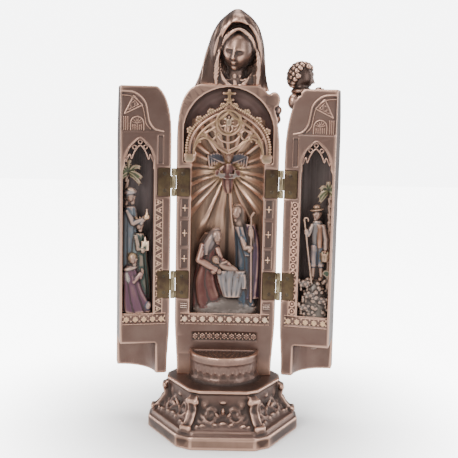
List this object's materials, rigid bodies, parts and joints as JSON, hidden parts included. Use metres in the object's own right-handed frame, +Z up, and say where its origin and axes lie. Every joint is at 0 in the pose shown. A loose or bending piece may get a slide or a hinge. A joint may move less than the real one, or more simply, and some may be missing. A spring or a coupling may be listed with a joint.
{
  "type": "triptych altarpiece statuette",
  "caption": "Veiled Madonna statuette on a six-sided plinth that opens as a hinged triptych with a relief nativity under pierced tracery.",
  "frame": {"origin": "centre of the plinth's underside", "axes": "+Z up, -Y towards the viewer of the open triptych, +X to the viewer's right"},
  "size_m": [0.1579, 0.0962, 0.2866],
  "materials": {
    "bronze": "satin cold-cast bronze, rubbed lighter on raised edges, dark in recesses",
    "copper_gilt": "satin copper-gold wash",
    "hinge_brass": "antique",
    "screw_steel": "browned"
  },
  "bodies": {
    "root": {"plinth": "bronze", "body": "bronze", "tracery_arch": "copper_gilt", "lower_left_hinge_fixed_leaf": "hinge_brass", "lower_left_hinge_pin": "screw_steel", "lower_left_hinge_fixed_screw_bottom": "screw_steel", "lower_left_hinge_fixed_screw_top": "screw_steel", "upper_left_hinge_fixed_leaf": "hinge_brass", "upper_left_hinge_pin": "screw_steel", "upper_left_hinge_fixed_screw_bottom": "screw_steel", "upper_left_hinge_fixed_screw_top": "screw_steel", "lower_right_hinge_fixed_leaf": "hinge_brass", "lower_right_hinge_pin": "screw_steel", "lower_right_hinge_fixed_screw_bottom": "screw_steel", "lower_right_hinge_fixed_screw_top": "screw_steel", "upper_right_hinge_fixed_leaf": "hinge_brass", "upper_right_hinge_pin": "screw_steel", "upper_right_hinge_fixed_screw_bottom": "screw_steel", "upper_right_hinge_fixed_screw_top": "screw_steel"},
    "left_wing": {"left_wing": "bronze", "lower_left_hinge_moving_leaf": "hinge_brass", "lower_left_hinge_moving_screw_bottom": "screw_steel", "lower_left_hinge_moving_screw_top": "screw_steel", "upper_left_hinge_moving_leaf": "hinge_brass", "upper_left_hinge_moving_screw_bottom": "screw_steel", "upper_left_hinge_moving_screw_top": "screw_steel"},
    "right_wing": {"right_wing": "bronze", "lower_right_hinge_moving_leaf": "hinge_brass", "lower_right_hinge_moving_screw_bottom": "screw_steel", "lower_right_hinge_moving_screw_top": "screw_steel", "upper_right_hinge_moving_leaf": "hinge_brass", "upper_right_hinge_moving_screw_bottom": "screw_steel", "upper_right_hinge_moving_screw_top": "screw_steel"}
  },
  "joints": [
    {"name": "left_wing_hinge", "type": "hinge", "parent": "root", "child": "left_wing", "pos_m": [-0.0365, -0.0006, 0.1], "axis": [0, 0, 1], "range_deg": [-8, 169]},
    {"name": "right_wing_hinge", "type": "hinge", "parent": "root", "child": "right_wing", "pos_m": [0.0365, -0.0006, 0.1], "axis": [0, 0, -1], "range_deg": [-8, 167]}
  ]
}
